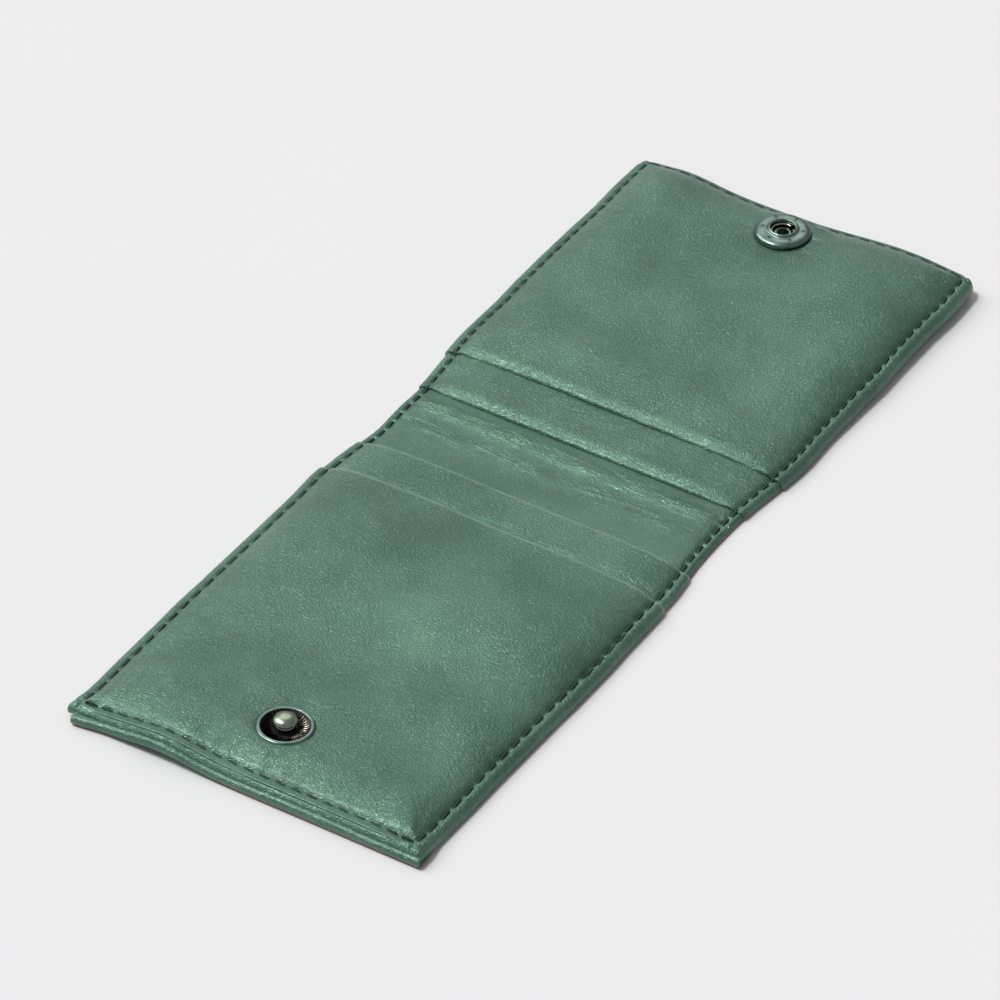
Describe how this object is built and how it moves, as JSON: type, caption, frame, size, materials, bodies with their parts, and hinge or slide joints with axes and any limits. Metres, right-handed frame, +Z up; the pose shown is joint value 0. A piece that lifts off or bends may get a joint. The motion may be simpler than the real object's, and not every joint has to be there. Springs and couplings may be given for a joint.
{
  "type": "card holder",
  "caption": "Folding leather card holder with nested card pockets on both halves, stitched edges and a ring snap that closes it.",
  "frame": {"origin": "centre of the bounding box's bottom face, on the surface that the open holder lies on", "axes": "+X across the holder, +Y along it from the stud's end to the socket's end, +Z up out of the inside"},
  "size_m": [0.075, 0.2, 0.0075],
  "materials": {
    "leather": "smooth, pearly, semi-gloss",
    "lining_leather": "smooth, creased at the fold",
    "thread": "waxed",
    "interlining_board": "matte fibre board",
    "divider_cloth": "matte woven",
    "snap_metal": "lacquered, satin",
    "dark_metal": "blackened",
    "spring_wire": "bright",
    "washer_plastic": "matte"
  },
  "bodies": {
    "back_half": {"back_cover": "leather", "back_interlining": "interlining_board", "back_lining": "lining_leather", "back_lower_pocket": "leather", "back_pocket_divider": "divider_cloth", "back_upper_pocket": "leather", "back_left_stitching": "thread", "back_right_stitching": "thread", "back_end_stitching": "thread", "stud_ring": "snap_metal", "stud_dish": "dark_metal", "stud_head": "snap_metal", "stud_eyelet": "snap_metal", "stud_washer": "washer_plastic", "spine_cover": "leather", "spine_lining": "lining_leather", "spine_left_stitching": "thread", "spine_right_stitching": "thread"},
    "front_flap": {"front_cover": "leather", "front_interlining": "interlining_board", "front_lining": "lining_leather", "front_lower_pocket": "leather", "front_pocket_divider": "divider_cloth", "front_upper_pocket": "leather", "front_left_stitching": "thread", "front_right_stitching": "thread", "front_end_stitching": "thread", "socket_ring": "snap_metal", "socket_base": "dark_metal", "socket_spring": "spring_wire", "socket_eyelet": "snap_metal", "socket_washer": "washer_plastic"}
  },
  "joints": [
    {"name": "fold", "type": "hinge", "parent": "back_half", "child": "front_flap", "pos_m": [0, 0.0027, 0.00675], "axis": [1, 0, 0], "range_deg": [0, 180], "deforming": ["spine_cover", "spine_lining", "spine_left_stitching", "spine_right_stitching"]}
  ]
}
